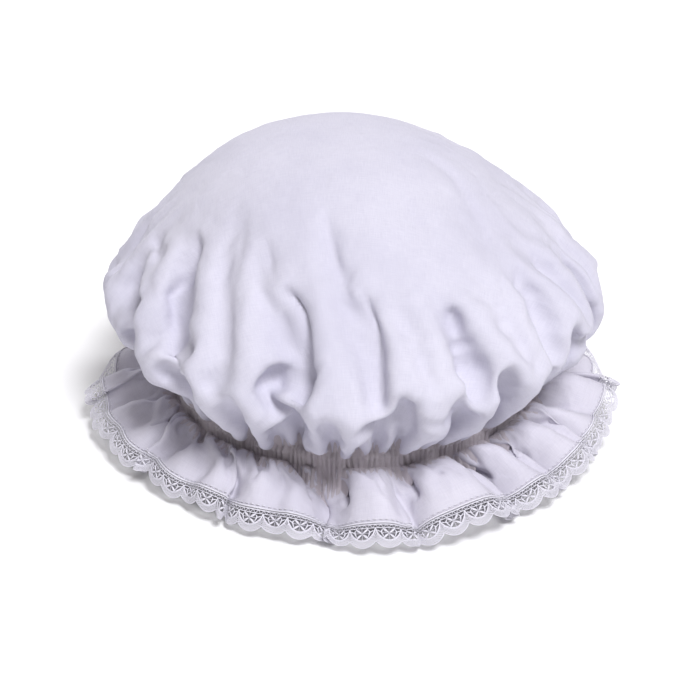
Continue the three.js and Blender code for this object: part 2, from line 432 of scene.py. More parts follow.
# %% Crown: creases and crumples
# Each crease: its corners as bearing and share of the way from the top to the band, its depth, its
# width on the left and on the right in millimetres, and how long its ends take to fade.
CROWN_LINES = [
    ([(-78, 0.59), (-70, 0.63), (-62, 0.67)], 9, 6, 8, 12),
    ([(-58.5, 0.40), (-55.5, 0.48), (-56.5, 0.56), (-49, 0.68), (-44, 0.78)], 7, 3, 6, 11),
    ([(-44.5, 0.285), (-34, 0.49)], 2, 6, 4, 20),
    ([(-31.5, 0.34), (-21.5, 0.47)], 3.5, 6, 4, 16),
    ([(-21, 0.45), (-14.5, 0.51), (-13, 0.654), (-13.5, 0.755)], 8, 3, 6, 13),
    ([(-19, 0.62), (-19, 0.73)], 5, 8, 6, 7),
    ([(-8.5, 0.25), (-4, 0.38), (-1, 0.447), (4, 0.457)], 4.5, 4, 6, 20),
    ([(3, 0.43), (5, 0.48), (5, 0.565), (4.5, 0.74)], 5, 4, 6, 15),
    ([(0, 0.44), (4, 0.46)], 6, 5, 7, 10),
    ([(-8, 0.76), (-8, 0.92)], 4, 3, 3, 8),
    ([(8.5, 0.7), (9.5, 0.8), (10, 0.88)], 4, 4, 5, 10),
    ([(27.5, 0.515), (27, 0.61)], 4.5, 3, 3.5, 6),
    ([(27, 0.57), (26.5, 0.66), (25, 0.75)], 6, 4, 6, 9),
    ([(32, 0.68), (36, 0.82), (40, 0.97)], 6, 4, 5, 14),
    ([(84, 0.16), (72, 0.27), (55.5, 0.405), (47, 0.46)], 2.4, 6, 2.8, 16),
    ([(56, 0.49), (48.5, 0.555)], 2.4, 3, 4, 7),
    ([(66.5, 0.485), (63.5, 0.57)], 2.4, 4, 3, 8),
    ([(-47, 0.635), (-42, 0.65), (-38.5, 0.65)], 5, 4, 6, 7),
    ([(-37, 0.69), (-31, 0.735), (-28, 0.755)], 3, 4, 6, 8),
    ([(-79, 0.50), (-68, 0.53)], 3, 4, 5, 8),
    ([(35.5, 0.205), (31.5, 0.39)], 2.0, 6, 3, 18),
    ([(54.5, 0.5), (50, 0.7), (52, 0.85)], 3.5, 5, 5, 18),
    ([(74, 0.75), (66, 0.745), (56, 0.75)], 6, 4, 6, 14),
    ([(78, 0.52), (76, 0.66), (73, 0.82)], 5, 4, 6, 16),
    ([(-92, 0.48), (-88, 0.62), (-84, 0.80)], 6, 4, 6, 18),
]
# Round the back, where the photograph doesn't show them, they are drawn at random.
for at in np.arange(96, 262, 9.0):
    low, high = rng.uniform(0.78, 0.94), rng.uniform(0.38, 0.62)
    sway = rng.uniform(-4, 4, 3) + at
    line = [(sway[0], high), (sway[1], (low + high) / 2), (sway[2], low)]
    CROWN_LINES.append((line, rng.uniform(3, 8), rng.uniform(3, 6), rng.uniform(3, 6), 16))


def on_cloth(line):
    """The corners of a line as places on the flat cloth, in millimetres."""
    turns = np.radians([corner[0] for corner in line])
    runs = np.array([corner[1] for corner in line]) * CLOTH_RADIUS / MM
    return np.stack([runs * np.sin(turns), -runs * np.cos(turns)], axis=1)


LINE_LIMIT = 7.5  # deeper than this, the two sides of a crease would cross
crown, places, normals, cloth = refine(crown)
lines = [(on_cloth(line), *rest) for line, *rest in CROWN_LINES]
run = np.minimum(np.linalg.norm(cloth, axis=1) * MM / CLOTH_RADIUS, 1.0)
inner = np.minimum(along_lines(cloth, lines), LINE_LIMIT) * (1 - smooth((run - 0.76) / 0.12))
rough = crumple(cloth, [(38, 1.7), (17, 1.2)])
rough *= 0.2 + 0.8 * smooth((run - 0.2) / 0.35)  # the top is drawn smooth
rough *= 1 - smooth((run - 0.9) / 0.1)
places -= normals * (inner - 0.9 * rough)[:, None] * MM
crown.data.vertices.foreach_set("co", places.ravel())
soften(crown, (inner > 2) & (run > 0.7), times=2)
soften(crown, run > 0.8, times=3)
print("crown creases:", len(lines), "deepest", round(inner.max(), 1), "mm")

# %% [markdown]
# The ruffle is a straight strip, about one and three quarter times as long as the band, sewn into
# a hoop and gathered along its top edge. Its spare length stands up in round lobes with sharp
# valleys between them, and its hem comes down close to the table. The strip is simulated with the
# lace's width added, because the lace hangs on the hem and moves with it.

# %% Ruffle: sizes and valleys
STRIP_LENGTH = 1000 * MM
RUFFLE_WIDTH = 42 * MM
LACE_WIDTH = 12 * MM
STRIP_WIDTH = RUFFLE_WIDTH + LACE_WIDTH
COLUMNS = 480
ROWS = 22
BAND_RADIUS = 90.0  # millimetres

# How far out and how high the strip runs down a lobe and down a valley: share of the strip's width,
# radius and height in millimetres.
LOBE = np.array([
    (0, 90, 20.7), (0.14, 97, 27), (0.4, 111, 26.5), (0.6, 121.5, 20), (0.78, 129, 12),
    (0.9, 132, 6.5), (1, 134, 1.5)])
VALLEY = np.array([
    (0, 90, 20.7), (0.16, 92, 12), (0.4, 100, 5), (0.6, 111, 4), (0.78, 120.5, 6.5),
    (0.9, 127, 4), (1, 130, 1.5)])

# The valleys, as the photograph shows them in front and as evenly as that round the back: the
# bearing at the band and at the hem, the depth as a share, and the width to each side in degrees.
VALLEYS = [
    (-97, -96, 0.9, 4.0, 4.0), (-80, -84, 0.9, 3.0, 4.5), (-66, -70, 0.8, 3.5, 3.5),
    (-52, -55, 0.9, 3.5, 4.0), (-38, -41, 0.7, 3.0, 3.0), (-28, -30, 0.6, 2.5, 2.5),
    (-17, -17.5, 0.9, 2.5, 2.0), (-6, -5, 1.4, 6.0, 3.0), (3, 3, 0.3, 1.5, 1.5),
    (13, 12, 1.1, 2.5, 2.5), (21, 22, 0.3, 2.0, 2.0), (30, 36, 1.1, 2.0, 3.5),
    (44, 51, 1.0, 2.5, 4.0), (60, 66, 0.9, 2.5, 3.5), (74, 78, 0.9, 4.0, 3.0),
    (91, 93, 0.9, 4.0, 4.0), (107, 106, 0.7, 3.5, 3.5), (121, 122, 0.9, 4.0, 4.0),
    (136, 135, 0.8, 3.5, 4.0), (152, 153, 0.9, 4.0, 3.5), (168, 167, 0.7, 3.5, 3.5),
    (184, 185, 0.9, 4.0, 4.0), (200, 199, 0.8, 3.5, 4.0), (216, 217, 0.9, 4.0, 4.0),
    (232, 231, 0.7, 3.5, 3.5), (247, 248, 0.9, 4.0, 3.5),
]

# How much further out the hem stands, how much higher the ruffle is in the middle, and how much the
# hem lifts, in millimetres, by bearing.
HEM = np.array([
    (-172, 2, -1, 3), (-158, -2, 3, 9), (-144, 3, 1, 2), (-131, -3, 3, 8), (-118, 1, 0, 2),
    (-106, -1, 3, 9), (-96, 3, 1, 4), (-88, 6, 4, 13), (-79, 2, 1, 4), (-70, -2, 4, 10),
    (-62, -4, 1, 3), (-54, -8, 4, 8), (-45, -9, 1, 2), (-36, -9, 4, 6), (-26, -7, 1, 2),
    (-17, -5, 4, 4), (-10, -5, 3, 3), (-5, -3, 0, 0), (4, 4, 5, 2), (13, 4, 1, 0),
    (22, 5, 5, 5), (31, 5, 5, 9), (37, -3, 0, 0), (45, 2, 5, 8), (52, -2, 0, 2),
    (60, 1, 5, 10), (67, -3, 1, 3), (74, 1, 4, 10), (80, -1, 0, 4), (88, 4, 5, 14),
    (97, -2, 1, 4), (108, 3, 4, 9), (121, -2, 0, 2), (134, 2, 4, 9), (148, -3, 1, 3),
    (161, 2, 4, 8), (174, -1, 0, 3)], float)
print("ruffle:", len(VALLEYS), "valleys, on a strip", round(STRIP_LENGTH / MM), "mm long")

# %% [markdown]
# In a few places the spare cloth doesn't stand up in a lobe but lies over in a pleat: the strip
# runs on past, doubles back and runs on again, three layers deep. For these the way along the strip
# is bent into a zigzag, and the layers are kept a few millimetres apart.

# %% Ruffle: pleats that lie over
# The bearing at the hem, how far the pleat doubles back in millimetres, and which side lies on top.
PLEAT_FOLDS = [
    (-150, 6, -1), (-120, 6, 1), (-85, 7, 1), (-56, 7, -1), (-30, 6, 1),
    (-5, 9, -1), (13, 4, 1), (35, 9, 1), (50, 6, 1), (66, 6, 1),
    (89, 7, -1), (120, 6, 1), (148, 6, -1), (175, 6, 1),
]
HEM_LENGTH = 2 * math.pi * 122  # once round, at a radius of 122 mm
LAYER_GAP = 6.0  # millimetres
doubled = sum(back for _, back, _ in PLEAT_FOLDS)
slope = (HEM_LENGTH + doubled) / (STRIP_LENGTH / MM - doubled)
knots, middles = [(0.0, 0.0)], []
for at, back, side in PLEAT_FOLDS:
    x = (at + 180) / 360 * HEM_LENGTH
    u = knots[-1][0] + (x + back / 2 - knots[-1][1]) / slope
    knots += [(u, x + back / 2), (u + back, x - back / 2)]
    middles.append((u + back / 2, back, side))
knots.append((STRIP_LENGTH / MM, HEM_LENGTH))
knots = np.array(knots)  # places along the strip, and where each comes on the way round
print("ruffle:", len(PLEAT_FOLDS), "pleats take up", 2 * doubled, "mm of the strip")


def ruffle_place(bearing, run):
    """A place on the ruffle: run is 0 at the band and 1 at the lace's outer edge."""
    u = (bearing + 180) / 360 * STRIP_LENGTH / MM
    zigzag = sum(np.interp(u + shift, knots[:, 0], knots[:, 1]) for shift in (-2, -1, 0, 1, 2)) / 5
    layer = np.zeros_like(bearing)
    for middle, back, side in middles:
        q = (u - middle) / (back / 2)
        layer -= side * q * np.exp(0.5 * (1 - q ** 2))
    grown = smooth((run - 0.05) / 0.5)
    bearing = bearing + (zigzag / HEM_LENGTH * 360 - 180 - bearing) * grown

    sunk = np.zeros_like(bearing)
    for at_band, at_hem, depth, left, right in VALLEYS:
        across = short_way(bearing - (at_band + (at_hem - at_band) * run))
        width = np.where(across < 0, left, right) * (1.2 - 0.4 * run)
        sunk = np.maximum(sunk, depth * np.exp(-np.abs(across / width) ** 1.5))
    radius, height = (np.interp(run, LOBE[:, 0], LOBE[:, column]) * (1 - sunk)
                      + np.interp(run, VALLEY[:, 0], VALLEY[:, column]) * sunk for column in (1, 2))
    # Small upright gathers stand all along the band and fade out below it.
    wander = 0.8 * np.sin(np.radians(7 * bearing)) + 0.7 * np.sin(np.radians(19 * bearing) + 2)
    gathers = np.abs(np.sin(np.radians(41 * bearing) + wander)) ** 0.8 - 0.5
    height = height + 3.2 * gathers * (run / 0.13) * np.exp(1 - run / 0.13)
    out, swell, lift = (by_bearing(HEM, column, bearing) for column in (1, 2, 3))
    radius = radius + out * run ** 1.3 + LAYER_GAP * layer * grown * run
    height = height + swell * np.sin(math.pi * run ** 0.8) + lift * run ** 1.5
    height = np.maximum(height, 4.0 * run) + LAYER_GAP * layer * grown * (1 - 0.4 * run)
    return round_axis(bearing, radius, np.maximum(height, 0.8))


# %% [markdown]
# A ring of edges, extruded down row by row, makes the strip as a hoop. It has no side seam, since
# none shows in the photograph. The top row is pinned to the band, and the rest is held firmly,
# because the lobes have to stand where the photograph shows them. The same helper makes the ring
# for the small pleats later on.

# %% Helpers: a hoop of cloth
def rank(part):
    """A number by which edges or faces can be put in order, from the points that they join."""
    ends = [vert.index for vert in part.verts]
    return min(ends) * 100000 + max(ends)


def hoop(segments, radius, rows, drop, unrolled=1.0):
    """A hoop, with its cloth's flat places as its UV map: unrolled scales the height in it."""
    bm = bmesh.new()
    bmesh.ops.create_circle(bm, segments=segments, radius=radius)
    edges = bm.edges[:]
    for _ in range(rows):
        grown = bmesh.ops.extrude_edge_only(bm, edges=edges)["geom"]
        verts = [part for part in grown if isinstance(part, bmesh.types.BMVert)]
        edges = [part for part in grown if isinstance(part, bmesh.types.BMEdge)]
        bmesh.ops.translate(bm, verts=verts, vec=(0, 0, -drop))
    # An extrusion leaves its edges and faces in another order in each run, so they are sorted.
    bm.verts.index_update()
    bm.edges.sort(key=rank)
    bm.faces.sort(key=rank)
    bmesh.ops.recalc_face_normals(bm, faces=bm.faces)
    uv = bm.loops.layers.uv.new("cloth")
    for face in bm.faces:
        turns = [math.atan2(loop.vert.co.x, -loop.vert.co.y) / (2 * math.pi) for loop in face.loops]
        for loop, turn in zip(face.loops, turns):
            if max(turns) - min(turns) > 0.5 and turn < 0:
                turn += 1
            loop[uv].uv = (turn * STRIP_LENGTH, unrolled * loop.vert.co.z)
    return bm


# %% Ruffle: gathering
CLEARANCE = 0.6 * MM  # between the cloth and the table
bm = hoop(COLUMNS, STRIP_LENGTH / (2 * math.pi), ROWS, STRIP_WIDTH / ROWS)
ruffle = link("ruffle_cloth", bm)
strip = coordinates(ruffle.data)
strip_run = -strip[:, 2] / STRIP_WIDTH
strip_bearing = np.degrees(np.arctan2(strip[:, 0], -strip[:, 1]))
hold = np.where(strip_run < 1e-5, 1.0, 0.9)
ruffle, hung = gather(ruffle, ruffle_place(strip_bearing, strip_run), hold, 0 * strip_run,
                      bending=0.6, pressure=0, frames=24)
hung[:, 2] = np.maximum(hung[:, 2], CLEARANCE)
ruffle.data.vertices.foreach_set("co", hung.ravel())
print("ruffle:", len(hung), "points on the strip, lace included")

# %% [markdown]
# The lace and its stitches are drawn flat and then carried onto the hung strip. For that its points
# are sorted into a grid, and a place between four of them is found by mixing theirs.

# %% Helpers: places on the hung strip
by_row = np.argsort(np.round(strip_run * ROWS) * 10000 + strip_bearing)
hung_grid = hung[by_row].reshape(ROWS + 1, COLUMNS, 3)
REACH = 1.5  # millimetres to each side over which the cloth's slant is measured


def on_strip(along, across):
    """Places on the hung strip, from millimetres along it and down from the band."""
    column = along / (STRIP_LENGTH / MM) * COLUMNS
    row = np.clip(across / (STRIP_WIDTH / MM) * ROWS, 0, ROWS - 1e-6)
    c, r = np.floor(column).astype(int), np.floor(row).astype(int)
    share_c, share_r = (column - c)[:, None], (row - r)[:, None]
    here, beside = c % COLUMNS, (c + 1) % COLUMNS
    upper = hung_grid[r, here] * (1 - share_c) + hung_grid[r, beside] * share_c
    lower = hung_grid[r + 1, here] * (1 - share_c) + hung_grid[r + 1, beside] * share_c
    return upper * (1 - share_r) + lower * share_r


def carry(flat, down=0.0, lift=0.0, squeeze=1.0):
    """Carries points drawn flat, in millimetres, to their places on the hung strip."""
    along, across = flat[:, 0], down + flat[:, 1]
    here = on_strip(along, across)
    sideways = on_strip(along + REACH, across) - on_strip(along - REACH, across)
    downwards = on_strip(along, across + REACH) - on_strip(along, across - REACH)
    normal = np.cross(downwards, sideways)
    normal /= np.linalg.norm(normal, axis=1)[:, None]
    here += normal * (flat[:, 2:] * squeeze + lift) * MM
    here[:, 2] = np.maximum(here[:, 2], 0.1 * MM)  # no thread goes below the table
    return here


print("strip: a grid of", COLUMNS, "x", ROWS, "squares")

# %% [markdown]
# The cotton itself ends where the lace starts, so the rows below are cut away. Then the ruffle gets
# its sharp lines as the crown did: one down each valley, and short ones at random, where the
# gathers start at the band. Both edges have to stay where the band and the lace meet them, so the
# creases and crumples fade out there.

# %% Ruffle: hem
bm = bmesh.new()
bm.from_mesh(ruffle.data)
bm.verts.ensure_lookup_table()
beyond = [face for face in bm.faces
          if sum(strip_run[v.index] for v in face.verts) / 4 > RUFFLE_WIDTH / STRIP_WIDTH + 1e-6]
bmesh.ops.delete(bm, geom=beyond, context="FACES")
bm.to_mesh(ruffle.data)
bm.free()
print("ruffle: cut off at", round(RUFFLE_WIDTH / MM), "mm from the band")

# %% Ruffle: creases and crumples
ruffle, places, normals, cloth = refine(ruffle)
lines = []
for at_band, at_hem, depth, left, right in VALLEYS:
    line = [(at_band / 360 * STRIP_LENGTH / MM, -4.0), (at_hem / 360 * STRIP_LENGTH / MM, -30.0)]
    lines.append((line, 4.0 * depth, 2.2, 2.2, 8))
    if line[0][0] > 400:  # the flat cloth starts again at the back
        lines.append(([(x - STRIP_LENGTH / MM, y) for x, y in line], 4.0 * depth, 2.2, 2.2, 8))
for at in np.arange(3, STRIP_LENGTH / MM, 9.0):
    x = at + rng.uniform(-2.5, 2.5) - STRIP_LENGTH / MM / 2
    line = [(x, -1.0), (x + rng.uniform(-2, 2), -rng.uniform(10, 26))]
    lines.append((line, rng.uniform(1.0, 2.2), 1.5, 1.5, 5))
to_hem = smooth(-cloth[:, 1] / 4) * smooth((RUFFLE_WIDTH / MM + cloth[:, 1]) / 8)
around = cloth.copy()
around[:, 0] += 12 * np.sin(cloth[:, 0] / (STRIP_LENGTH / MM) * 2 * math.pi)
inner = along_lines(cloth, lines) - 0.8 * crumple(around, [(26, 0.9), (11, 0.45)])
places -= normals * (inner * to_hem)[:, None] * MM
places[:, 2] = np.maximum(places[:, 2], CLEARANCE)
ruffle.data.vertices.foreach_set("co", places.ravel())
print("ruffle:", len(ruffle.data.vertices), "points and", len(lines), "creases")

# %% [markdown]
# Between the crown and the ruffle the cloth is drawn so tight that it stands in small upright
# pleats, two or three millimetres apart, over the elastic. They run up a little way into the
# hollows of the crown and down onto the ruffle before they open out. At that size a simulation
# would need millions of points, so the pleats are a ring whose radius follows a wave of uneven
# pitch, and rays find where the crown and the ruffle are, for the ring to lie on.

# %% Band: a ring of rows
PLEATS = 226
PLEAT_COLUMNS = 7
PLEAT_DEPTH = 1.5
UPPER, WAIST, LOWER = 9, 5, 8  # rows on the crown, over the elastic and on the ruffle
ELASTIC_TOP, ELASTIC_WIDTH = 26.5, 5.0  # its height over the table and its own, in millimetres
ROW_WIDTH = 1.2 * MM
bm = hoop(PLEATS * PLEAT_COLUMNS, BAND_RADIUS * MM, UPPER + WAIST + LOWER, 1, ROW_WIDTH)
band = link("pleated_band", bm)
places = coordinates(band.data)
order = np.argsort(np.round(-places[:, 2]) * 10 + np.arctan2(places[:, 0], -places[:, 1]))
turn = np.arctan2(places[order, 0], -places[order, 1]).reshape(UPPER + WAIST + LOWER + 1, -1)
row = np.round(-places[order, 2]).reshape(turn.shape)
print("band:", turn.shape[0], "rows of", turn.shape[1], "points")

# %% [markdown]
# Pressed pleats would be all alike. Cloth that an elastic draws in isn't so even: the pitch drifts,
# some pleats are deeper than others, and they lean a little to one side or the other. Sums of slow
# waves round the ring give each of these.

# %% Band: pleats
def ripple(turn, sizes, starts, first, step):
    waves = first + step * np.arange(len(sizes))
    return sum(size * np.sin(wave * turn + start)
               for wave, size, start in zip(waves, sizes, starts))


drift = 0.5 * ripple(turn, rng.normal(0, 1, 14), rng.uniform(0, 6.28, 14), 5, 4)
uneven = 0.18 * ripple(turn, rng.normal(0, 1, 12), rng.uniform(0, 6.28, 12), 30, 11)
lean = ripple(turn, rng.normal(0, 1, 10), rng.uniform(0, 6.28, 10), 7, 5)
lean = 0.06 * (row - UPPER - WAIST / 2) * lean
pleat = np.abs(np.sin((PLEATS * turn + drift + lean) / 2)) ** 0.8
pleat = PLEAT_DEPTH * np.clip(1 + uneven, 0.45, 1.6) * (pleat - 0.5)

up = np.clip((UPPER - row) / UPPER, 0, 1)  # 1 at the top edge, 0 at the elastic
down = np.clip((row - UPPER - WAIST) / LOWER, 0, 1)  # 1 at the lower edge
height = ELASTIC_TOP + 12.5 * up - ELASTIC_WIDTH * np.clip((row - UPPER) / WAIST, 0, 1)
radius = BAND_RADIUS + 0.3 + 4.5 * up + 10 * down
print("band:", PLEATS, "pleats,", round(2 * math.pi * BAND_RADIUS / PLEATS, 2), "mm apart")

# %% [markdown]
# A ray from outside towards the axis finds the crown's surface for each point of the upper rows,
# and a ray from above finds the ruffle's for the lower rows. The edges sink just under the cloth,
# so the pleats seem to grow out of it. The found places are averaged a little along the row.

# %% Band: laid on the crown and the ruffle
crown_tree = BVHTree.FromObject(crown, bpy.context.evaluated_depsgraph_get())
ruffle_tree = BVHTree.FromObject(ruffle, bpy.context.evaluated_depsgraph_get())


def even_out(values, times=3):
    for _ in range(times):
        values = (np.roll(values, 1, axis=1) + values + np.roll(values, -1, axis=1)) / 3
    return values


outside = radius.copy()
for spot in np.argwhere(up > 0.01):
    spot = tuple(spot)
    bearing_here = np.degrees(turn[spot])
    origin = Vector(round_axis(bearing_here, 150.0, height[spot]))
    inwards = Vector(round_axis(bearing_here, 0.0, height[spot])) - origin
    hit = crown_tree.ray_cast(origin, inwards)[0]
    if hit is not None:
        outside[spot] = math.hypot(hit.x - AXIS.x, hit.y - AXIS.y) / MM
outside = np.minimum(outside + 0.7 - 1.6 * up, radius + 2)
outside = np.where(up > 0.01, even_out(outside), radius)
onto = height.copy()
for spot in np.argwhere(down > 0.01):
    spot = tuple(spot)
    origin = Vector(round_axis(np.degrees(turn[spot]), radius[spot], 45.0))
    hit = ruffle_tree.ray_cast(origin, Vector((0, 0, -1)))[0]
    if hit is not None:
        onto[spot] = hit.z / MM
onto = np.where(down > 0.01, even_out(onto + 0.9 - 1.7 * down), height)
radius = outside + pleat * (1 - up) ** 0.7 * (1 - down)
height = onto + pleat * (1 - down) ** 0.7 * smooth(down * 3)
places[order] = round_axis(np.degrees(turn), radius, height).reshape(-1, 3)
band.data.vertices.foreach_set("co", places.ravel())
print("band: from", round(height.min(), 1), "to", round(height.max(), 1), "mm above the table")

# %% [markdown]
# The lace is a cotton edging, sewn along the hem. Each of its scallops repeats one figure: a header
# along the hem, a row of small triangles, an open half moon with a flower of four leaves in it, and
# a close net round the half moon, out to the edge thread. One scallop is drawn flat as curves with
# a thread's thickness. Its mesh is repeated along the strip, and every point is carried to its
# place on the hung cloth, so the lace bends and falls as the hem does.

# %% Lace: the scallop's outline, drawn flat in millimetres
SCALLOPS = 80
PITCH = STRIP_LENGTH / MM / SCALLOPS


def moon(u):
    """The lower edge of the open half moon, at u millimetres along the hem."""
    return 2.5 + 5.7 * abs(math.sin(math.pi * u / PITCH)) ** 0.62


def edge(u):
    """The scalloped outer edge."""
    return 8.3 + 3.3 * abs(math.sin(math.pi * u / PITCH)) ** 0.75


def between(u, share):
    return (u, moon(u) + (edge(u) - moon(u)) * share)


def span(line, steps):
    """The points of a line that runs once along the scallop."""
    return [line(PITCH * k / steps) for k in range(steps + 1)]


print("scallop:", PITCH, "mm wide and", round(edge(PITCH / 2), 1), "mm deep")

# %% Lace: header, half moon and edge
threads = []  # each a list of points with their half widths, or one half width for all
threads.append((span(lambda u: (u, -0.3), 4), 0.55))
threads.append((span(lambda u: (u, 0.75), 4), 0.3))
threads.append((span(lambda u: (u, 2.4), 4), 0.22))
for k in range(5):
    start = PITCH * k / 5
    threads.append(([(start, 0.8), (start + PITCH / 10, 2.4), (start + PITCH / 5, 0.8)], 0.2))
threads.append((span(lambda u: (u, moon(u)), 14), 0.34))
threads.append((span(lambda u: between(u, 0.16), 14), 0.16))
threads.append((span(lambda u: (u, edge(u)), 14), 0.26))
print("scallop:", len(threads), "threads of header, half moon and edge")

# %% Lace: flower
centre_u, centre_v = PITCH / 2, 5.0
for left, low in ((1, 1), (1, -1), (-1, 1), (-1, -1)):
    leaf = [(centre_u + left * d, centre_v + low * d * 0.8) for d in (0.25, 0.9, 1.6, 2.3, 2.9)]
    threads.append((leaf, (0.2, 0.5, 0.66, 0.5, 0.16)))
for side in (1, -1):
    bow = [(centre_u + side * 2.9, 3.1), (centre_u + side * 3.6, 4.0), (centre_u + side * 3.3, 5.2),
           (centre_u + side * 2.6, 6.6)]
    threads.append((bow, (0.16, 0.4, 0.4, 0.16)))
    threads.append(([(centre_u + side * 3.5, 4.5), (centre_u + side * 5.3, 3.6)], 0.28))
threads.append(([(centre_u, 2.4), (centre_u, 8.0)], 0.14))
threads.append(([(centre_u - 3.4, centre_v - 0.3), (centre_u + 3.4, centre_v - 0.3)], 0.14))
print("scallop:", len(threads), "threads with its flower")

# %% Lace: net
NET = 14  # slanting threads each way in a scallop
STEPS = 5
for k in range(NET):
    for way in (1, -1):
        slant = [between(PITCH * (k + way * step * 0.8) / NET, step / STEPS)
                 for step in range(STEPS + 1)]
        threads.append((slant, 0.15))
print("scallop:", len(threads), "threads with its net")

# %% [markdown]
# A curve with a bevel gives every thread its thickness. With a bevel resolution of 0 a thread is
# square, which is enough at half a millimetre and keeps eighty scallops light.

# %% Lace: threads with a thickness
curve = bpy.data.curves.new("scallop", "CURVE")
curve.dimensions = "3D"
curve.bevel_depth = 1.0
curve.bevel_resolution = 0
curve.use_fill_caps = True
for points, widths in threads:
    line = curve.splines.new("POLY")
    line.points.add(len(points) - 1)
    for k, (point, (u, v)) in enumerate(zip(line.points, points)):
        point.co = (u, v, 0, 1)
        point.radius = widths[k] if isinstance(widths, tuple) else widths
drawing = add_object("scallop", curve)
motif = finished_mesh(drawing)
bpy.data.objects.remove(drawing)


def triangles(mesh):
    return sum(len(face.vertices) - 2 for face in mesh.polygons)


print("one scallop:", triangles(motif), "triangles")

# %% Lace: repeated along the strip, and hung on the hem
bm = bmesh.new()
bm.from_mesh(motif)
one = bm.verts[:] + bm.edges[:] + bm.faces[:]
for k in range(1, SCALLOPS):
    copy = bmesh.ops.duplicate(bm, geom=one)["geom"]
    verts = [part for part in copy if isinstance(part, bmesh.types.BMVert)]
    bmesh.ops.translate(bm, verts=verts, vec=(PITCH * k, 0, 0))
lace = link("scalloped_lace", bm)
places = carry(coordinates(lace.data), down=RUFFLE_WIDTH / MM, lift=0.3, squeeze=0.55)
lace.data.vertices.foreach_set("co", places.ravel())
print("lace:", SCALLOPS, "scallops,", triangles(lace.data), "triangles")

# %% [markdown]
# A line of machine stitches holds the lace to the hem. Each stitch is a small oval of thread that
# sinks a little at both ends, so one low oval is repeated along the hem.

# %% Stitches along the hem
STITCH_PITCH = 2.8  # millimetres
STITCHES = round(STRIP_LENGTH / MM / STITCH_PITCH)
FROM_HEM = 1.6  # millimetres above the cloth's edge

bm = bmesh.new()
for k in range(STITCHES):
    oval = bmesh.ops.create_icosphere(bm, subdivisions=1, radius=1.0)["verts"]
    bmesh.ops.scale(bm, verts=oval, vec=(1.05, 0.26, 0.3))
    along = (k + 0.5) * STRIP_LENGTH / MM / STITCHES
    bmesh.ops.translate(bm, verts=oval, vec=(along, -FROM_HEM, 0))
stitches = link("hem_stitches", bm)
places = carry(coordinates(stitches.data), down=RUFFLE_WIDTH / MM, lift=0.45)
stitches.data.vertices.foreach_set("co", places.ravel())
print("stitches:", STITCHES, "of", triangles(stitches.data) // STITCHES, "triangles each")

# %% [markdown]
# The cotton is a plain lawn: thin, matt and soft white, a little blue from bleaching. Three things
# tell the eye that it is woven. Its threads cross in a fine grid, some threads are thicker than
# others, and the washed cloth stays slightly crinkled. Each comes from a pattern sized in real
# millimetres on the flat cloth, so the grid bends round every fold as the real threads do.

# %% Helpers: colours and nodes
def linear(code):
    """The linear colour of an sRGB hex code."""
    colour = []
    for k in (1, 3, 5):
        part = int(code[k:k + 2], 16) / 255
        colour.append(part / 12.92 if part <= 0.04045 else ((part + 0.055) / 1.055) ** 2.4)
    return (*colour, 1.0)


def add(tree, kind, values=(), links=(), **settings):
    """Adds a node with its settings, sets values on its inputs and links other outputs to them."""
    node = tree.nodes.new("ShaderNode" + kind)
    for name, value in settings.items():
        setattr(node, name, value)
    for socket, value in dict(values).items():
        node.inputs[socket].default_value = value
    for socket, output in dict(links).items():
        tree.links.new(output, node.inputs[socket])
    return node


def material(name):
    """An empty material, its node tree and its shader."""
    made = bpy.data.materials.new(name)
    made.use_nodes = True
    return made, made.node_tree, made.node_tree.nodes["Principled BSDF"]


# %% Cotton lawn
# Two threads of the weave, one over and one under, in millimetres. That is as fine as lawn really
# is, so it shows in close views only. From afar the thicker threads and the crinkles show instead.
WEAVE = 0.45


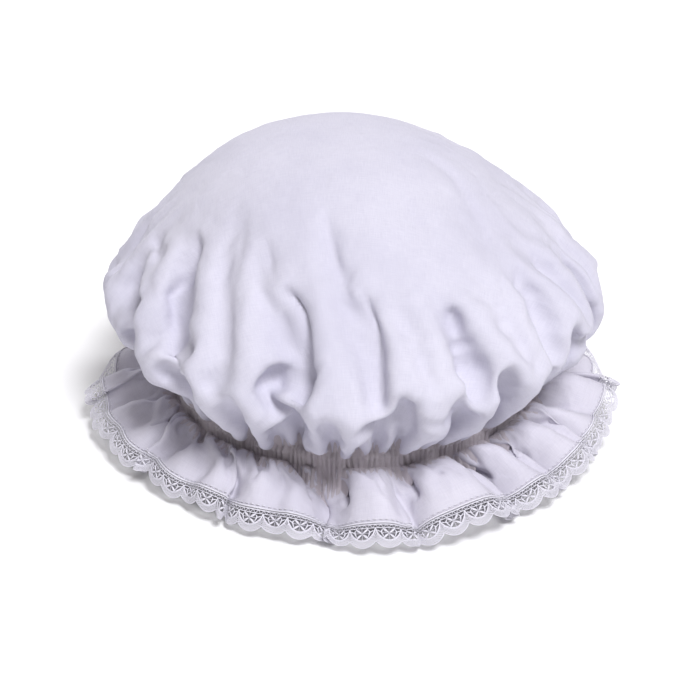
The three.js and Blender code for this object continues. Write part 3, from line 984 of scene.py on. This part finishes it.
def cotton_lawn(name, pale, deep, crinkle):
    """Bleached cotton lawn. It is matt, with soft highlights and no hard ones."""
    made, tree, shader = material(name)
    flat = add(tree, "UVMap", uv_map="cloth").outputs["UV"]
    threads = add(tree, "VectorMath", {1: [2 * math.pi / (WEAVE * MM)] * 3}, {0: flat},
                  operation="MULTIPLY")
    split = add(tree, "SeparateXYZ", links={0: threads.outputs[0]})
    warp = add(tree, "Math", links={0: split.outputs["X"]}, operation="SINE")
    weft = add(tree, "Math", links={0: split.outputs["Y"]}, operation="SINE")
    weave = add(tree, "Math", links={0: warp.outputs[0], 1: weft.outputs[0]}, operation="MULTIPLY")

    # Thicker threads: noise of 0.5 mm stretched to 6 mm along the warp, and again along the weft.
    lengthwise = add(tree, "VectorMath", {1: (2200, 160, 1)}, {0: flat}, operation="MULTIPLY")
    crosswise = add(tree, "VectorMath", {1: (160, 2200, 1)}, {0: flat}, operation="MULTIPLY")
    slub_warp = add(tree, "TexNoise", {"Scale": 1, "Detail": 1}, {"Vector": lengthwise.outputs[0]})
    slub_weft = add(tree, "TexNoise", {"Scale": 1, "Detail": 1}, {"Vector": crosswise.outputs[0]})
    slubs = add(tree, "Math", links={0: slub_warp.outputs["Fac"], 1: slub_weft.outputs["Fac"]},
                operation="ADD")

    # Crinkles of the washed cloth, from 14 mm across down to 2 mm.
    solid = add(tree, "TexCoord").outputs["Object"]
    folds = add(tree, "TexNoise", {"Scale": 70, "Detail": 3, "Roughness": 0.45, "Distortion": 0.4},
                {"Vector": solid})
    crinkled = add(tree, "Bump", {"Strength": 1.0, "Distance": crinkle * MM},
                   {"Height": folds.outputs["Fac"]})
    slubbed = add(tree, "Bump", {"Strength": 0.5, "Distance": 0.10 * MM},
                  {"Height": slubs.outputs[0], "Normal": crinkled.outputs[0]})
    woven = add(tree, "Bump", {"Strength": 0.6, "Distance": 0.06 * MM},
                {"Height": weave.outputs[0], "Normal": slubbed.outputs[0]})

    # A faint unevenness of tone: slubs are paler, and the cloth between is a little deeper.
    patches = add(tree, "TexNoise", {"Scale": 22, "Detail": 3}, {"Vector": solid})
    tone = add(tree, "Math", links={0: slubs.outputs[0], 1: patches.outputs["Fac"]},
               operation="MULTIPLY")
    colour = add(tree, "ValToRGB", links={0: tone.outputs[0]})
    colour.color_ramp.elements[0].position = 0.3
    colour.color_ramp.elements[0].color = linear(deep)
    colour.color_ramp.elements[1].position = 0.7
    colour.color_ramp.elements[1].color = linear(pale)
    tree.links.new(colour.outputs["Color"], shader.inputs["Base Color"])
    tree.links.new(woven.outputs[0], shader.inputs["Normal"])
    shader.inputs["Roughness"].default_value = 0.88
    shader.inputs["Specular IOR Level"].default_value = 0.25
    shader.inputs["Sheen Weight"].default_value = 0.12
    shader.inputs["Sheen Roughness"].default_value = 0.45
    return made


crown_lawn = cotton_lawn("cotton_lawn_crown", "#CFCDDA", "#C5C3D2", crinkle=1.1)
ruffle_lawn = cotton_lawn("cotton_lawn_ruffle", "#D0CDD8", "#C6C3CF", crinkle=1.2)
# The pleats are the same lawn, drawn darker and warmer than the crown and the ruffle: painted
# shade, for the shade that falls deep in the gathers under the crown.
pleats_lawn_painted_shade = cotton_lawn("cotton_lawn_pleats_painted_shade", "#C4BDC3", "#B9B1B6", crinkle=0.8)
print("lawn:", crown_lawn.name, ruffle_lawn.name, pleats_lawn_painted_shade.name)

# %% [markdown]
# Lace thread is cotton too, but hard-twisted and mercerised, so it is smoother, brighter and a
# little glossier than the lawn. Its twist could follow each thread, but a thread is only a pixel
# wide. A slanting wave through the whole piece gives the same small dots of light at less cost.

# %% Lace and sewing thread
def cotton_thread(name, colour, twist):
    """Twisted cotton thread: the strands come round at about 0.6 of the twist in millimetres."""
    made, tree, shader = material(name)
    solid = add(tree, "TexCoord").outputs["Object"]
    strands = add(tree, "TexWave", {"Scale": 1 / (twist * MM), "Distortion": 2, "Detail": 1},
                  {"Vector": solid}, bands_direction="DIAGONAL")
    fluff = add(tree, "TexNoise", {"Scale": 1500, "Detail": 2}, {"Vector": solid})
    height = add(tree, "Math", links={0: strands.outputs["Fac"], 1: fluff.outputs["Fac"]},
                 operation="ADD")
    twisted = add(tree, "Bump", {"Strength": 0.6, "Distance": 0.08 * MM},
                  {"Height": height.outputs[0]})
    tree.links.new(twisted.outputs[0], shader.inputs["Normal"])
    tint = add(tree, "ValToRGB", links={0: fluff.outputs["Fac"]})
    tint.color_ramp.elements[0].color = linear(colour[0])
    tint.color_ramp.elements[1].color = linear(colour[1])
    tree.links.new(tint.outputs["Color"], shader.inputs["Base Color"])
    shader.inputs["Roughness"].default_value = 0.7
    shader.inputs["Sheen Weight"].default_value = 0.1
    return made


lace_thread = cotton_thread("mercerised_lace_thread", ("#D2D0DA", "#DFDDE6"), twist=1.2)
sewing_thread = cotton_thread("sewing_thread", ("#D6D4DC", "#E2E0E8"), twist=0.8)
print("thread:", lace_thread.name, sewing_thread.name)

# %% [markdown]
# Every cloth piece so far is a sheet without a thickness, which is what a simulation needs. A
# Solidify modifier thickens it inwards, so that the outer face stays where it settled. Lawn is
# thinner than this. It is drawn a little thicker, so that its edges show.

# %% Thickness and finishes
LAWN_THICKNESS = 0.3 * MM
for piece, finish in ((crown, crown_lawn), (ruffle, ruffle_lawn), (band, pleats_lawn_painted_shade),
                      (lace, lace_thread), (stitches, sewing_thread)):
    piece.data.materials.clear()
    piece.data.materials.append(finish)
    for face in piece.data.polygons:
        face.use_smooth = True
    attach(piece, "root")
for piece in (crown, ruffle, band):
    thick = piece.modifiers.new("thickness", "SOLIDIFY")
    thick.thickness = LAWN_THICKNESS
    thick.offset = -1
for piece in (crown, ruffle, band, lace, stitches):
    print(piece.name, round(piece.dimensions.x / MM), "x", round(piece.dimensions.y / MM), "mm")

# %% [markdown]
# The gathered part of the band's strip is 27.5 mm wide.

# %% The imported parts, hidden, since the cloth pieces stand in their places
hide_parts("crown")
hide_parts("gathered_band")
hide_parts("ruffle")
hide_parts("lace_edging")

# %% [markdown]
# The photograph was lit broadly from the front, above and a little to the right, over a white
# ground, so the folds shade softly and only the hollows are dark. One wide light does that, and a
# pale sky fills in. A weak light behind keeps the back of the cap from going grey, where the
# photograph doesn't look. The floor is paler than the cotton, as a white sweep would be.

# %% Floor
FLOOR_HALF = 6  # metres
bm = bmesh.new()
bmesh.ops.create_grid(bm, x_segments=1, y_segments=1, size=FLOOR_HALF)
floor = link("floor", bm)
paper, tree, shader = material("white_paper")
solid = add(tree, "TexCoord").outputs["Object"]
grain = add(tree, "TexNoise", {"Scale": 900, "Detail": 2}, {"Vector": solid})
grained = add(tree, "Bump", {"Strength": 0.1, "Distance": 0.1 * MM},
              {"Height": grain.outputs["Fac"]})
tree.links.new(grained.outputs[0], shader.inputs["Normal"])
shader.inputs["Base Color"].default_value = (0.97, 0.97, 0.97, 1)
shader.inputs["Roughness"].default_value = 1.0
floor.data.materials.append(paper)
print("floor:", 2 * FLOOR_HALF, "m across")

# %% Lights
MIDDLE = Vector((0, 0, 0.06))  # what both lights point at


def softbox(name, place, size, watts):
    light = bpy.data.lights.new(name, "AREA")
    light.shape = "DISK"
    light.size = size
    light.energy = watts
    light.color = (0.97, 0.97, 1.0)
    point_at(add_object(name, light), place, MIDDLE)
    print(name, watts, "W")


softbox("softbox_front", place=(1.2, -2.3, 4.1), size=1.8, watts=236)
softbox("softbox_back", place=(-1.0, 2.8, 1.3), size=1.6, watts=34)

# %% Sky
sky = bpy.data.worlds.new("sky")
sky.use_nodes = True
sky.node_tree.nodes["Background"].inputs["Color"].default_value = (1, 0.97, 0.955, 1)
sky.node_tree.nodes["Background"].inputs["Strength"].default_value = 0.36
scene.world = sky
scene.view_settings.view_transform = "Standard"  # keeps white paper white
print("sky: strength", round(sky.node_tree.nodes["Background"].inputs["Strength"].default_value, 2))
